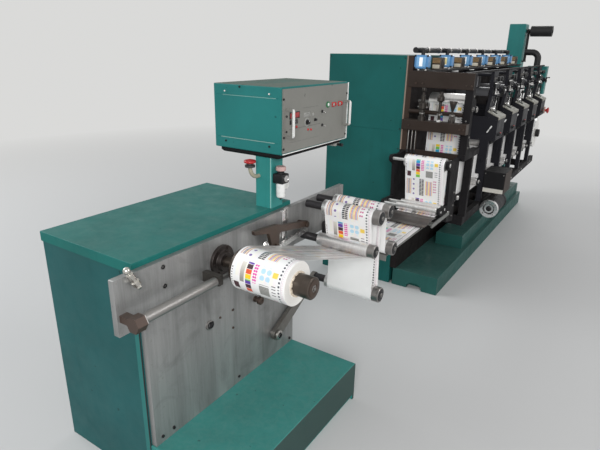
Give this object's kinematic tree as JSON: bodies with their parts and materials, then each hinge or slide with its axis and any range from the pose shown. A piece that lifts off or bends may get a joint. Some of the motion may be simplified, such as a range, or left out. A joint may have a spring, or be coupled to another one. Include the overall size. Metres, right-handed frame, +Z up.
{
  "type": "narrow-web flexographic label press with rewind stand",
  "caption": "Narrow-web label printing press: rewind stand with control box, delivery table, print stations in line and an unwind post.",
  "frame": {"origin": "on the floor below the delivery frame, 3 mm beside the centre line of the web", "axes": "+X to the operator's side, +Y along the machine from rewinder to unwind, +Z up"},
  "size_m": [1.056, 4.948, 1.725],
  "materials": {
    "bare_steel": "ground plate",
    "black_rubber": "matt",
    "blue_box": "moulded",
    "brass_fitting": "plated",
    "brown_steel": "oiled and browned",
    "case_paint": "light grey enamel",
    "core_board": "cardboard",
    "dark_paint": "satin",
    "green_paint": "gloss enamel",
    "lid_paint": "satin",
    "printed_web": "coated paper",
    "red_plastic": "moulded",
    "roller_steel": "turned"
  },
  "bodies": {
    "press": {"air_ducts": "black_rubber", "air_regulator": "black_rubber", "air_valve": "brass_fitting", "control_case": "green_paint", "control_panel": "case_paint", "control_post": "green_paint", "control_tray": "dark_paint", "cross_beams": "brown_steel", "dancer_arm": "brown_steel", "dancer_roller": "roller_steel", "delivery_frame": "dark_paint", "delivery_table": "roller_steel", "delivery_web": "printed_web", "drive_cabinet": "green_paint", "drive_frame": "dark_paint", "dryer_hoods": "dark_paint", "fan_boxes": "case_paint", "far_stop": "red_plastic", "feed_motor": "roller_steel", "gear_cover": "green_paint", "guide_rod": "bare_steel", "idler_rollers": "roller_steel", "ink_pans": "roller_steel", "lamp_boxes": "blue_box", "layon_arm": "brown_steel", "motor_box": "dark_paint", "nip_adjusters": "dark_paint", "outfeed_plates": "brown_steel", "outfeed_rollers": "roller_steel", "panel_buttons": "red_plastic", "plate_plug": "black_rubber", "plinth": "green_paint", "press_idlers": "roller_steel", "press_web": "printed_web", "pressure_screws": "roller_steel", "print_cylinders": "roller_steel", "print_units": "dark_paint", "rewind_cabinet": "green_paint", "rewind_lid": "green_paint", "rewind_plate": "bare_steel", "rewind_step": "green_paint", "side_rail": "dark_paint", "spindle_bearing": "dark_paint", "stay_bars": "bare_steel", "stop_button": "red_plastic", "table_cover": "dark_paint", "top_rails": "dark_paint", "unit_lids": "lid_paint", "unwind_guard": "green_paint", "unwind_post": "green_paint", "unwind_roll": "printed_web", "unwind_shafts": "roller_steel"},
    "spindle": {"rewind_spindle": "brown_steel", "roll_core": "core_board", "label_roll": "printed_web"}
  },
  "joints": [
    {"name": "rewind_turn", "type": "hinge", "parent": "press", "child": "spindle", "pos_m": [0, -1.791, 0.749], "axis": [1, 0, 0], "continuous": true}
  ]
}
